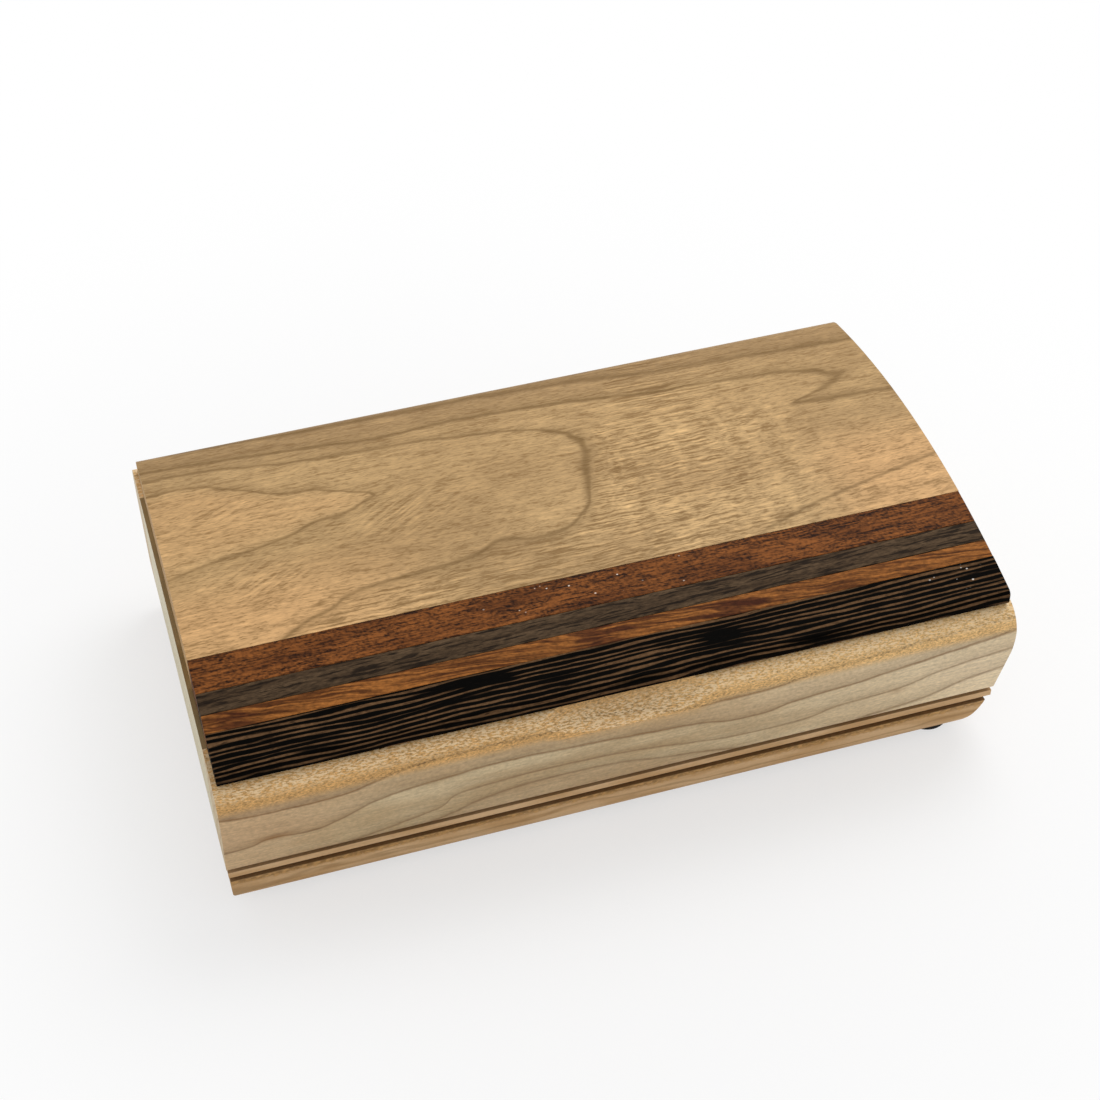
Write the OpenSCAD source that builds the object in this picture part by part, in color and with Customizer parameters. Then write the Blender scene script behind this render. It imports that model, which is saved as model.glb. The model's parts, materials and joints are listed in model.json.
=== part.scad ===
// Wooden puzzle box: a bullnosed maple box with an arched lid of five woods.
// The box slides along dovetail runners on a base that hides a shallow tray.
// X runs along the box, -Y is the front with the thumb scoop, +Z is up, and z = 0 is the table.

/* [Walls] */
// Length of the box
box_len = 218; // [190:1:250]
// Depth of the box at the widest line of its rails
box_depth = 136.4; // [126:0.2:150]
// Height of the four walls
wall_h = 34.8; // [31:0.2:42]
// Thickness of the front and back rails at the widest line
rail_t = 18.2; // [16:0.2:20]
// Thickness of the two end boards
end_t = 12; // [11.5:0.5:14]

/* [Rail profile] */
// Radius of the rounding at the top of a rail
nose_r = 8.2; // [7:0.1:9]
// Radius of the sweep below the widest line
belly_r = 30; // [24:1:36]
// Lean of the lower face of a rail, in degrees
undercut = 16.3; // [12:0.1:18]

/* [Thumb scoop] */
// Width of the scoop
scoop_w = 46; // [30:1:60]
// Lean of the scoop from level, in degrees
scoop_lean = 45; // [35:1:55]
// Depth of the scoop at its middle
scoop_depth = 3; // [2:0.1:3.6]
// Radius of the scoop across its width
scoop_r = 11; // [9:0.5:14]

/* [Lid] */
// End board that shows beyond each end of the lid
lid_inset = 1.25; // [0.8:0.05:2]
// Lid from its front edge to its back edge
lid_depth = 127.8; // [124:0.1:130]
// Thickness of the lid at its crown
lid_t = 12.5; // [11.5:0.1:14]
// Radius of the lid's arched top
lid_arc_r = 248.4; // [240:0.1:300]
// Radius of the rounding on the lid's front edge
lid_front_r = 1.8; // [1:0.1:2.5]
// Radius of the rounding on the lid's front lower edge
lid_edge_r = 0.8; // [0.4:0.1:1.2]
// Radius of the rounding on the lid's back edge
lid_back_r = 8; // [7:0.5:12]
// Radius of the lid's two back corners, seen from above
lid_corner_r = 3; // [1:0.5:5]
// Running gap between the lid and the walls
lid_gap = 0.1; // [0.1:0.05:0.3]
// Width of the wenge strip
wenge_w = 11.9; // [8:0.1:16]
// Width of the orange padauk strip
orange_w = 5.6; // [4:0.1:10]
// Width of the grey bog oak strip
grey_w = 6.7; // [4:0.1:10]
// Width of the red bubinga strip
bubinga_w = 11.0; // [8:0.1:16]
// Width of a batten under the lid
batten_w = 12; // [10:0.5:16]
// Height of a batten under the lid
batten_h = 10; // [9.6:0.1:11]
// Length of a batten under the lid
batten_len = 88; // [70:1:90]
// Gap between a batten and the end board beside it
batten_gap = 0.5; // [0.4:0.1:1]

/* [Floor and base] */
// Height of the floor panel's edge that shows as the band
band_h = 2; // [1.8:0.1:3]
// Height of the groove above the band
upper_groove_h = 1.7; // [1.4:0.1:2]
// Height of the groove below the band
lower_groove_h = 1.7; // [1.4:0.1:2]
// Depth of both grooves
groove_depth = 1.2; // [0.8:0.1:1.6]
// Setback of the band from the foot of the walls
band_setback = 0.3; // [0.2:0.1:1]
// Setback of the base from the band
base_setback = 0.3; // [0.2:0.1:1]
// Thickness of the base block
base_t = 10.5; // [10.2:0.1:13]
// Radius of the rounding under the front and back of the base block
base_r = 4.2; // [3:0.1:6]
// Radius of the rounding under the left end of the base block
base_left_r = 4; // [3:0.1:6]
// Radius of the rounding under the right end of the base block, where it is pulled
base_right_r = 14; // [10:0.1:16]
// Running gap between the floor panel and the base block
slide_gap = 0.2; // [0.1:0.05:0.3]

/* [Slide] */
// Travel of the box along the base
travel = 95; // [70:1:100]
// Width of a dovetail runner at its neck
runner_neck = 8; // [7.5:0.5:10]
// Height of a dovetail runner below the floor panel
runner_h = 6; // [5.8:0.1:7]
// Angle of the dovetail, in degrees
dovetail = 14; // [8:1:16]
// Distance from the middle of the box to the middle of each runner
runner_y = 47; // [46:0.5:49]
// Running gap round a runner
runner_gap = 0.2; // [0.15:0.05:0.3]
// Radius of the brass stop pin
stop_r = 2; // [1.5:0.1:2.5]
// Height of the stop pin above the base block
stop_h = 2.2; // [1.8:0.1:2.4]
// Place of the stop pin to the right of the middle
stop_x = 70; // [60:1:78]
// Length of the stop pin below the top of the base block
stop_sink = 8; // [6:0.5:8.5]
// Running gap round the stop pin
stop_gap = 0.2; // [0.1:0.05:0.3]
// Wood between a runner's end and the end of the base block
runner_set = 3; // [2:0.5:5]

/* [Hidden tray] */
// Length of the hidden tray
tray_len = 71; // [50:1:72]
// Width of the hidden tray
tray_w = 70; // [50:1:72]
// Wood left under the hidden tray
tray_floor = 3.5; // [3:0.1:4.5]
// Solid wood at the left of the hidden tray
tray_margin = 22; // [21:0.2:24]
// Corner radius of the hidden tray
tray_corner = 5; // [3:0.5:8]

/* [Locks] */
// Radius of the lid bolt's shank
shank_r = 2; // [1.5:0.1:2.1]
// Radius of the lid bolt's head
head_r = 3; // [2.7:0.1:3.2]
// Length of the lid bolt's head
head_len = 3; // [2.5:0.1:3.5]
// Throw of the lid bolt
lid_throw = 4.9; // [4:0.1:5]
// Depth of the lid bolt's axis below the top of the walls
bolt_drop = 4.9; // [4.8:0.1:5]
// Thickness of the bushing that holds the lid bolt in
bushing_t = 2.3; // [2:0.1:2.5]
// Outer radius of that bushing
bushing_r = 4; // [3.8:0.1:4.2]
// Running gap round the lid bolt
bolt_gap = 0.08; // [0.05:0.01:0.1]
// Slack at each end of the lid bolt's throw
bolt_slack = 0.1; // [0.05:0.05:0.2]
// Depth of the drawn lid bolt's tip inside its bushing
tip_set = 0.4; // [0.2:0.1:0.6]
// Gap round the thrown lid bolt in the batten's rebate
socket_gap = 0.3; // [0.2:0.1:0.5]
// Distance from the left end of the base to the middle of the base bolt
slug_from_end = 12.5; // [12:0.1:13]
// Width of the base bolt
slug_w = 5; // [4:0.1:6]
// Height of the base bolt
slug_h = 3.8; // [3.4:0.1:3.9]
// Length of the base bolt
slug_len = 16; // [12:0.5:18]
// Throw of the base bolt
base_throw = 6; // [4:0.1:6]
// Thickness of the plate over the base bolt
cover_t = 1.5; // [1.2:0.1:1.7]
// Running gap round the base bolt
slug_gap = 0.2; // [0.1:0.05:0.3]
// Depth of the drawn base bolt behind the wall of the dovetail groove
slug_set = 0.5; // [0.3:0.1:1]
// Reach of the cover plate past the base bolt
cover_lip = 3; // [2:0.5:4]

/* [Hinges] */
// Length of a hinge
hinge_len = 32; // [24:1:40]
// Distance from the end of the box to the middle of each hinge
hinge_from_end = 43; // [34:1:59]
// Depth of a hinge leaf in front of its barrel
leaf_d = 10; // [9:0.5:11]
// Thickness of a hinge leaf
leaf_t = 1.2; // [1:0.05:1.3]
// Radius of the hinge barrel
barrel_r = 1.8; // [1.7:0.1:2]
// Radius of the hinge pin
pin_r = 0.9; // [0.7:0.05:1]
// Depth of the barrel's axis below the top of the walls
barrel_drop = 2; // [1.8:0.1:2.2]
// Distance from the lid's back edge to the barrel's axis
barrel_out = 0.6; // [0.5:0.1:1]
// Running gap round a barrel
barrel_gap = 0.4; // [0.3:0.1:0.5]
// Running gap round the pin
pin_gap = 0.06; // [0.03:0.01:0.1]
// Running gap between the knuckles
knuckle_gap = 0.3; // [0.2:0.1:0.5]
// Radius of a hinge screw
screw_r = 0.8; // [0.6:0.1:1]
// Length of a hinge screw
screw_len = 4; // [3:0.1:4.2]
// Radius of a hinge screw's head
screw_head_r = 1.5; // [1.2:0.1:1.8]
// Height of a hinge screw's head
screw_head_h = 0.7; // [0.5:0.1:0.8]
// Distance from the front of a leaf to its screws
screw_set = 3; // [2.5:0.1:4]

/* [Lining and feet] */
// Thickness of the felt
felt_t = 1.2; // [0.8:0.1:2]
// Gap between the felt and the wood round it
felt_gap = 0.1; // [0.1:0.1:0.5]
// Radius of a corner dowel
dowel_r = 3; // [2.5:0.1:3.5]
// Length of a corner dowel
dowel_len = 28; // [24:1:34]
// Height of the lower dowel in each corner above the floor panel
low_dowel = 8.6; // [6:0.1:12]
// Height of the upper dowel in each corner above the floor panel
high_dowel = 24; // [20:0.1:28]
// Part of a dowel that stands in the rail
dowel_in_rail = 9; // [6:0.5:9.5]
// Radius of a rubber foot
foot_r = 6.35; // [5:0.05:7]
// Height of a rubber foot
foot_h = 3; // [2:0.1:4]
// Radius of the rounding under a rubber foot
foot_round = 1; // [0.5:0.1:1.5]
// Distance from a foot's middle to the end of the base
foot_from_end = 14; // [13:0.1:17]
// Distance from a right foot's middle to the front or back of the base
right_foot_from_side = 9.4; // [9:0.1:13]
// Distance from a left foot's middle to the front or back of the base
left_foot_from_side = 13; // [12:0.1:16]

/* [Hidden] */
$fn = 96;
over = 1; // how far a cutter runs past the face that it opens

// Heights, from the table up
base_z = foot_h;
base_top = base_z + base_t;
floor_z = base_top + slide_gap;
floor_top = floor_z + band_h + upper_groove_h;
rim = floor_top + wall_h;
lid_z = rim + lid_gap;
crown = lid_z + lid_t;

// Walls, measured from the middle of the box
half_len = box_len / 2;
half_depth = box_depth / 2;
inner_x = half_len - end_t;
inner_y = half_depth - rail_t;
nose_y = half_depth - nose_r;
nose_z = rim - nose_r;
belly_y = half_depth - belly_r;
belly_end_y = belly_y + belly_r * cos(undercut);
belly_end_z = nose_z - belly_r * sin(undercut);
rail_foot_y = belly_end_y - (belly_end_z - floor_top) * tan(undercut);
dowel_x = half_len - end_t / 2;
dowel_heights = [floor_top + low_dowel, floor_top + high_dowel];

// Floor panel and base block
band_x = half_len - band_setback;
band_y = rail_foot_y - band_setback;
base_x = band_x - base_setback;
base_y = band_y - base_setback;

// Lid: its two roundings touch a circle that is a hair larger than the arch, so that they cross the arch
// at a clear angle, and the rounding on the back edge ends at the lower back corner
lid_x = half_len - lid_inset;
lid_y = lid_depth / 2;
arc_z = crown - lid_arc_r;
touch_rise = 0.01;
touch_r = lid_arc_r + touch_rise;
back_span = norm([lid_y, lid_z - arc_z]);
back_along = (pow(touch_r - lid_back_r, 2) - pow(lid_back_r, 2) + pow(back_span, 2)) / (2 * back_span);
back_aside = sqrt(pow(touch_r - lid_back_r, 2) - pow(back_along, 2));
back_y = (lid_y * back_along - (lid_z - arc_z) * back_aside) / back_span;
back_z = arc_z + ((lid_z - arc_z) * back_along + lid_y * back_aside) / back_span;
back_touch_y = back_y * touch_r / (touch_r - lid_back_r);
front_y = -lid_y + lid_front_r;
front_z = arc_z + sqrt(pow(touch_r - lid_front_r, 2) - pow(front_y, 2));
front_touch_y = front_y * touch_r / (touch_r - lid_front_r);
wenge_y = -lid_y + wenge_w;
orange_y = wenge_y + orange_w;
grey_y = orange_y + grey_w;
bubinga_y = grey_y + bubinga_w;
batten_x = inner_x - batten_gap;

// Dovetail slide
runner_x = base_x - runner_set;
runner_z = floor_z - runner_h;
runner_foot = runner_neck / 2 + runner_h * tan(dovetail);
groove_y = runner_y - runner_foot - runner_gap * (1 + tan(dovetail));
stop_slot_r = stop_r + stop_gap;
stop_slot_h = stop_h - slide_gap + stop_gap;

// Hidden tray
tray_left = -base_x + tray_margin;
tray_z = base_z + tray_floor;

// Lid bolt, lying along X in the left end board
bolt_z = rim - bolt_drop;
bushing_x = -inner_x - bushing_t;
head_x = bushing_x - lid_throw - bolt_slack;
chamber_x = head_x - head_len - bolt_slack;
shank_tip_x = -inner_x - tip_set;
socket_x = shank_tip_x + lid_throw + socket_gap;

// Base bolt, lying along Y at the left of the hidden tray
slug_x = -base_x + slug_from_end;
slug_y = -groove_y + slug_set;
slug_end = slug_y + slug_len;
cover_z = base_top - slide_gap - cover_t;

// Hinges
hinge_x = half_len - hinge_from_end;
barrel_y = lid_y + barrel_out;
barrel_z = rim - barrel_drop;
recess_r = barrel_r + barrel_gap;
knuckle_len = hinge_len / 4;
leaf_y = barrel_y - leaf_d;
screw_y = leaf_y + screw_set;
screw_pitch = hinge_len / 3;

// Feet
foot_x = base_x - foot_from_end;
right_foot_y = base_y - right_foot_from_side;
left_foot_y = base_y - left_foot_from_side;

// Colours
maple = [0.84, 0.74, 0.58];
rough_maple = [0.78, 0.63, 0.46];
cherry = [0.78, 0.64, 0.48];
bubinga = [0.49, 0.30, 0.19];
bog_oak = [0.34, 0.29, 0.24];
padauk = [0.60, 0.36, 0.19];
wenge = [0.14, 0.10, 0.08];
brass = [0.80, 0.65, 0.35];
felt = [0.13, 0.13, 0.15];
rubber = [0.06, 0.06, 0.06];

// An outline drawn in Y and Z, extruded along the box from x1 to x2
module along_x(x1, x2) {
    translate([x1, 0, 0]) rotate([90, 0, 90]) linear_extrude(x2 - x1) children();
}

// An outline drawn in X and Z, extruded from front to back, from y1 to y2
module along_y(y1, y2) {
    translate([0, y2, 0]) rotate([90, 0, 0]) linear_extrude(y2 - y1) children();
}

// A block between two opposite corners
module block(low, high) {
    translate(low) cube(high - low);
}

// A rod along X from x1 to x2, with its axis at height z and depth y
module rod_x(x1, x2, y, z, r) {
    translate([x1, y, z]) rotate([0, 90, 0]) cylinder(r = r, h = x2 - x1);
}

// A rod along Y from y1 to y2
module rod_y(y1, y2, x, z, r) {
    translate([x, y1, z]) rotate([-90, 0, 0]) cylinder(r = r, h = y2 - y1);
}

// A rectangle between two corners with four round corners
module round_rect(low, high, r) {
    translate([low[0] + r, low[1]]) square([high[0] - low[0] - 2 * r, high[1] - low[1]]);
    translate([low[0], low[1] + r]) square([high[0] - low[0], high[1] - low[1] - 2 * r]);
    for (x = [low[0] + r, high[0] - r], y = [low[1] + r, high[1] - r]) translate([x, y]) circle(r);
}

// What lies outside a smaller rectangle, between two heights: it cuts a groove round an edge
module rim_cutter(half_x, half_y, inset, z1, z2) {
    difference() {
        block([-half_x - over, -half_y - over, z1], [half_x + over, half_y + over, z2]);
        block([-half_x + inset, -half_y + inset, z1 - over], [half_x - inset, half_y - inset, z2 + over]);
    }
}

// ---- Walls ----

// Section of the back rail: round nose, sweeping belly and a lower face that leans in
module rail_section() {
    translate([inner_y, nose_z]) square([nose_y - inner_y, nose_r]);
    intersection() {
        translate([nose_y, nose_z]) circle(nose_r);
        translate([nose_y, nose_z]) square(nose_r);
    }
    intersection() {
        translate([belly_y, nose_z]) circle(belly_r);
        translate([inner_y, belly_end_z]) square([rail_t, nose_z - belly_end_z]);
    }
    polygon([
        [inner_y, floor_top],
        [rail_foot_y, floor_top],
        [belly_end_y, belly_end_z],
        [inner_y, belly_end_z]
    ]);
}

// Cutter for the thumb scoop: a ring that bites deepest at the middle of the nose
module scoop_cutter() {
    bite_r = pow(scoop_w / 2, 2) / (2 * scoop_depth);
    translate([0, -nose_y, nose_z])
        rotate([-scoop_lean, 0, 0])
            translate([0, -nose_r - scoop_r + scoop_depth - bite_r, 0])
                rotate_extrude() translate([bite_r, 0]) circle(scoop_r);
}

// Dowels through the four corners, two in each
module dowels() {
    for (x = [-dowel_x, dowel_x], z = dowel_heights, side = [-1, 1])
        mirror([0, side < 0 ? 1 : 0, 0])
            rod_y(inner_y + dowel_in_rail - dowel_len, inner_y + dowel_in_rail, x, z, dowel_r);
}

module front_rail() {
    color(maple) difference() {
        mirror([0, 1, 0]) along_x(-half_len, half_len) rail_section();
        scoop_cutter();
        dowels();
    }
}

module back_rail() {
    color(maple) difference() {
        along_x(-half_len, half_len) rail_section();
        dowels();
        for (x = [-hinge_x, hinge_x]) box_mortise(x);
    }
}

module end_board(x1, x2) {
    block([x1, -inner_y, floor_top], [x2, inner_y, rim]);
}

module left_end() {
    color(maple) difference() {
        end_board(-half_len, -inner_x);
        dowels();
        rod_x(chamber_x, -inner_x + over, 0, bolt_z, head_r + bolt_gap);
        rod_x(bushing_x, -inner_x + over, 0, bolt_z, bushing_r);
    }
}

module right_end() {
    color(maple) difference() {
        end_board(inner_x, half_len);
        dowels();
    }
}

module corner_dowels() {
    color(rough_maple) dowels();
}

// ---- Floor of the compartment, with the runners under it ----

module compartment_floor() {
    slot_x1 = stop_x - travel;
    color(rough_maple) difference() {
        block([-band_x, -band_y, floor_z], [band_x, band_y, floor_top]);
        rim_cutter(band_x, band_y, groove_depth, floor_top - upper_groove_h, floor_top + over);
        translate([0, 0, floor_z - over]) linear_extrude(stop_slot_h + over) {
            translate([slot_x1, -stop_slot_r]) square([travel, 2 * stop_slot_r]);
            for (x = [slot_x1, stop_x]) translate([x, 0]) circle(stop_slot_r);
        }
    }
}

module compartment_lining() {
    x = inner_x - felt_gap;
    y = inner_y - felt_gap;
    color(felt) block([-x, -y, floor_top], [x, y, floor_top + felt_t]);
}

// Section of a dovetail at depth y, from z1 up to z2, that is wider than the runner by gap all round
module dovetail_section(y, z1, z2, gap) {
    low = runner_neck / 2 + gap + (floor_z - z1) * tan(dovetail);
    high = runner_neck / 2 + gap + (floor_z - z2) * tan(dovetail);
    polygon([[y - low, z1], [y + low, z1], [y + high, z2], [y - high, z2]]);
}

// The front runner leaves a gap at its left for the base bolt, and the catch closes that gap
module front_runner() {
    color(rough_maple) along_x(slug_x + slug_w / 2 + slug_gap, runner_x)
        dovetail_section(-runner_y, runner_z, floor_z, 0);
}

module runner_catch() {
    color(rough_maple) along_x(-runner_x, slug_x - slug_w / 2 - slug_gap)
        dovetail_section(-runner_y, runner_z, floor_z, 0);
}

module back_runner() {
    color(rough_maple) along_x(-runner_x, runner_x) dovetail_section(runner_y, runner_z, floor_z, 0);
}

// ---- Hinges ----

// Room in the back rail for one hinge
module box_mortise(x) {
    block([x - hinge_len / 2, leaf_y, rim - leaf_t], [x + hinge_len / 2, barrel_y, rim + over]);
    block(
        [x - hinge_len / 2 - knuckle_gap, barrel_y - recess_r, barrel_z],
        [x + hinge_len / 2 + knuckle_gap, half_depth + over, rim + over]
    );
    rod_x(x - hinge_len / 2 - knuckle_gap, x + hinge_len / 2 + knuckle_gap, barrel_y, barrel_z, recess_r);
    screw_rods(x, rim, -1);
}

// Room in the lid for one hinge
module lid_mortise(x) {
    block([x - hinge_len / 2, leaf_y, lid_z - over], [x + hinge_len / 2, barrel_y, lid_z + leaf_t]);
    rod_x(x - hinge_len / 2 - knuckle_gap, x + hinge_len / 2 + knuckle_gap, barrel_y, barrel_z, recess_r);
    screw_rods(x, lid_z, 1);
}

// Three flush screws from the leaf's face at height z into the wood, up (1) or down (-1)
module screw_rods(x, z, way) {
    for (step = [-1, 0, 1])
        translate([x + step * screw_pitch, screw_y, z]) mirror([0, 0, way < 0 ? 1 : 0]) {
            cylinder(r = screw_r, h = screw_len);
            cylinder(r = screw_head_r, h = screw_head_h);
        }
}

// The leaf in the back rail, with a knuckle at each end
module box_leaf(x) {
    x1 = x - hinge_len / 2;
    x2 = x + hinge_len / 2;
    color(brass) difference() {
        union() {
            block([x1, leaf_y, rim - leaf_t], [x2, barrel_y, rim]);
            rod_x(x1, x1 + knuckle_len, barrel_y, barrel_z, barrel_r);
            rod_x(x2 - knuckle_len, x2, barrel_y, barrel_z, barrel_r);
        }
        block(
            [x1 + knuckle_len, barrel_y - barrel_r - knuckle_gap, rim - leaf_t - over],
            [x2 - knuckle_len, barrel_y + over, rim + over]
        );
        rod_x(x1 - over, x2 + over, barrel_y, barrel_z, pin_r);
        screw_rods(x, rim, -1);
    }
}

// The leaf in the lid, with one knuckle in the middle
module lid_leaf(x) {
    x1 = x - hinge_len / 2;
    x2 = x + hinge_len / 2;
    k1 = x1 + knuckle_len + knuckle_gap;
    k2 = x2 - knuckle_len - knuckle_gap;
    color(brass) difference() {
        union() {
            block([x1, leaf_y, lid_z], [x2, barrel_y - barrel_r - knuckle_gap, lid_z + leaf_t]);
            block([k1, leaf_y, lid_z], [k2, barrel_y, lid_z + leaf_t]);
            block([k1, barrel_y - barrel_r, barrel_z], [k2, barrel_y, lid_z + leaf_t]);
            rod_x(k1, k2, barrel_y, barrel_z, barrel_r);
        }
        rod_x(k1 - over, k2 + over, barrel_y, barrel_z, pin_r + pin_gap);
        screw_rods(x, lid_z, 1);
    }
}

module hinge_pin(x) {
    color(brass) rod_x(x - hinge_len / 2, x + hinge_len / 2, barrel_y, barrel_z, pin_r);
}

module left_hinge_box_leaf() { box_leaf(-hinge_x); }
module right_hinge_box_leaf() { box_leaf(hinge_x); }
module left_hinge_pin() { hinge_pin(-hinge_x); }
module right_hinge_pin() { hinge_pin(hinge_x); }
module left_hinge_lid_leaf() { lid_leaf(-hinge_x); }
module right_hinge_lid_leaf() { lid_leaf(hinge_x); }

module box_leaf_screws() {
    color(brass) for (x = [-hinge_x, hinge_x]) screw_rods(x, rim, -1);
}

module lid_leaf_screws() {
    color(brass) for (x = [-hinge_x, hinge_x]) screw_rods(x, lid_z, 1);
}

// ---- Lid ----

// Section of the lid before its top is arched: small roundings at the front and a large one at the back
module lid_outline() {
    translate([front_touch_y, lid_z]) square([back_touch_y - front_touch_y, lid_t + over]);
    translate([front_y, front_z]) circle(lid_front_r);
    translate([-lid_y, lid_z + lid_edge_r]) square([lid_front_r, front_z - lid_z - lid_edge_r]);
    translate([-lid_y + lid_edge_r, lid_z]) square([lid_front_r, front_z - lid_z]);
    translate([-lid_y + lid_edge_r, lid_z + lid_edge_r]) circle(lid_edge_r);
    translate([back_y, back_z]) circle(lid_back_r);
}

// Section of the whole lid
module lid_section() {
    intersection() {
        translate([0, arc_z]) circle(lid_arc_r, $fn = 720);
        lid_outline();
        translate([-lid_depth, lid_z]) square([2 * lid_depth, lid_t + over]);
    }
}

// One board of the lid, between depths y1 and y2
module lid_board(y1, y2) {
    along_x(-lid_x, lid_x) intersection() {
        lid_section();
        translate([y1, lid_z]) square([y2 - y1, lid_t + over]);
    }
}

// What lies outside the two round back corners of the lid
module lid_corner_cutter() {
    for (side = [0, 1]) mirror([side, 0, 0])
        translate([lid_x - lid_corner_r, lid_y - lid_corner_r, lid_z - over])
            linear_extrude(lid_t + 2 * over) difference() {
                square(lid_corner_r + over);
                circle(lid_corner_r);
            }
}

module cherry_panel() {
    color(cherry) difference() {
        lid_board(bubinga_y, lid_y + over);
        lid_corner_cutter();
        for (x = [-hinge_x, hinge_x]) lid_mortise(x);
    }
}

module bubinga_strip() { color(bubinga) lid_board(grey_y, bubinga_y); }
module grey_strip() { color(bog_oak) lid_board(orange_y, grey_y); }
module orange_strip() { color(padauk) lid_board(wenge_y, orange_y); }
module wenge_strip() { color(wenge) lid_board(-lid_y - over, wenge_y); }

// A batten across the lid's boards, between x1 and x2
module batten(x1, x2) {
    block([x1, -batten_len / 2, lid_z - batten_h], [x2, batten_len / 2, lid_z]);
}

// The left batten has a rebate above a lip, and the lid bolt slides in over the lip
module left_batten() {
    color(maple) difference() {
        batten(-batten_x, -batten_x + batten_w);
        block(
            [-batten_x - over, -batten_len / 2 - over, bolt_z - shank_r - socket_gap],
            [socket_x, batten_len / 2 + over, lid_z + over]
        );
    }
}

module right_batten() {
    color(maple) batten(batten_x - batten_w, batten_x);
}

// ---- Locks ----

module lid_bolt() {
    color(brass) {
        rod_x(head_x - head_len, head_x, 0, bolt_z, head_r);
        rod_x(head_x, shank_tip_x, 0, bolt_z, shank_r);
    }
}

module lid_bolt_bushing() {
    color(brass) difference() {
        rod_x(bushing_x, -inner_x, 0, bolt_z, bushing_r);
        rod_x(bushing_x - over, -inner_x + over, 0, bolt_z, shank_r + bolt_gap);
    }
}

module base_bolt() {
    color(brass) block(
        [slug_x - slug_w / 2, slug_y, runner_z],
        [slug_x + slug_w / 2, slug_end, runner_z + slug_h]
    );
}

// Plate over the base bolt; rise makes it taller, for the cutter of its seat
module cover_plate(rise) {
    block(
        [slug_x - slug_w / 2 - cover_lip, -groove_y, cover_z],
        [slug_x + slug_w / 2 + cover_lip, slug_end + cover_lip, cover_z + cover_t + rise]
    );
}

module base_bolt_cover() {
    color(brass) cover_plate(0);
}

// ---- Base ----

// Outline of the base block, half wide each side of the middle, with its two lower corners rounded
module base_section(half, left_r, right_r) {
    intersection() {
        translate([-half, base_z]) square([2 * half, base_t]);
        union() {
            translate([-half + left_r, base_z - over]) square([2 * half - left_r - right_r, base_t + 2 * over]);
            translate([-half + left_r, base_z + left_r]) circle(left_r);
            translate([-half - over, base_z + left_r]) square([left_r + 2 * over, base_t]);
            translate([half - right_r, base_z + right_r]) circle(right_r);
            translate([half - right_r, base_z + right_r]) square([right_r + over, base_t]);
        }
    }
}

module base_block() {
    color(rough_maple) difference() {
        intersection() {
            along_x(-base_x, base_x) base_section(base_y, base_r, base_r);
            along_y(-base_y, base_y) base_section(base_x, base_left_r, base_right_r);
        }
        rim_cutter(base_x, base_y, groove_depth, base_top - lower_groove_h, base_top + over);
        for (y = [-runner_y, runner_y])
            along_x(-runner_x - runner_gap, base_x + over)
                dovetail_section(y, runner_z - runner_gap, base_top + over, runner_gap);
        translate([0, 0, tray_z]) linear_extrude(base_t)
            round_rect([tray_left, -tray_w / 2], [tray_left + tray_len, tray_w / 2], tray_corner);
        block(
            [slug_x - slug_w / 2 - slug_gap, -groove_y - over, runner_z - slug_gap],
            [slug_x + slug_w / 2 + slug_gap, slug_end + slug_gap, cover_z + cover_t]
        );
        cover_plate(over + slide_gap);
        translate([stop_x, 0, base_top - stop_sink]) cylinder(r = stop_r, h = stop_sink + over);
    }
}

module tray_lining() {
    g = felt_gap;
    color(felt) translate([0, 0, tray_z]) linear_extrude(felt_t) round_rect(
        [tray_left + g, -tray_w / 2 + g],
        [tray_left + tray_len - g, tray_w / 2 - g],
        tray_corner - g
    );
}

module stop_pin() {
    color(brass) translate([stop_x, 0, base_top - stop_sink]) cylinder(r = stop_r, h = stop_sink + stop_h);
}

// A round rubber foot under one corner
module foot(x, y) {
    color(rubber) translate([x, y, 0]) rotate_extrude() {
        square([foot_r - foot_round, foot_h]);
        translate([0, foot_round]) square([foot_r, foot_h - foot_round]);
        translate([foot_r - foot_round, foot_round]) circle(foot_round);
    }
}

module front_left_foot() { foot(-foot_x, -left_foot_y); }
module front_right_foot() { foot(foot_x, -right_foot_y); }
module back_left_foot() { foot(-foot_x, left_foot_y); }
module back_right_foot() { foot(foot_x, right_foot_y); }

front_rail();
back_rail();
left_end();
right_end();
corner_dowels();
compartment_floor();
compartment_lining();
front_runner();
runner_catch();
back_runner();
lid_bolt_bushing();
left_hinge_box_leaf();
right_hinge_box_leaf();
left_hinge_pin();
right_hinge_pin();
box_leaf_screws();
cherry_panel();
bubinga_strip();
grey_strip();
orange_strip();
wenge_strip();
left_batten();
right_batten();
left_hinge_lid_leaf();
right_hinge_lid_leaf();
lid_leaf_screws();
lid_bolt();
base_bolt();
base_block();
tray_lining();
base_bolt_cover();
stop_pin();
front_left_foot();
front_right_foot();
back_left_foot();
back_right_foot();
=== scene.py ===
"""Wooden puzzle box: finishes, eased edges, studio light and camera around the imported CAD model."""
import functools
import json
import math

import bpy
from mathutils import Matrix, Vector


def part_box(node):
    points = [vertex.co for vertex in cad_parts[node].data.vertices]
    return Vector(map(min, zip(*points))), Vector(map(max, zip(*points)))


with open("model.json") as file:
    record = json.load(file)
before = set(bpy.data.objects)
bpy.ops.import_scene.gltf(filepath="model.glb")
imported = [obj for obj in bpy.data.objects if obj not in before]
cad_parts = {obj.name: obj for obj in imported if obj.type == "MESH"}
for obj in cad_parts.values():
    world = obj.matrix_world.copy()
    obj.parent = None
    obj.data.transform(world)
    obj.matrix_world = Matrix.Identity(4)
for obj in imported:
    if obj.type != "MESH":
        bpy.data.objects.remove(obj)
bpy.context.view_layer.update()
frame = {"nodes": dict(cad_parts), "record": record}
nodes = frame["nodes"]

MM = 0.001

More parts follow.
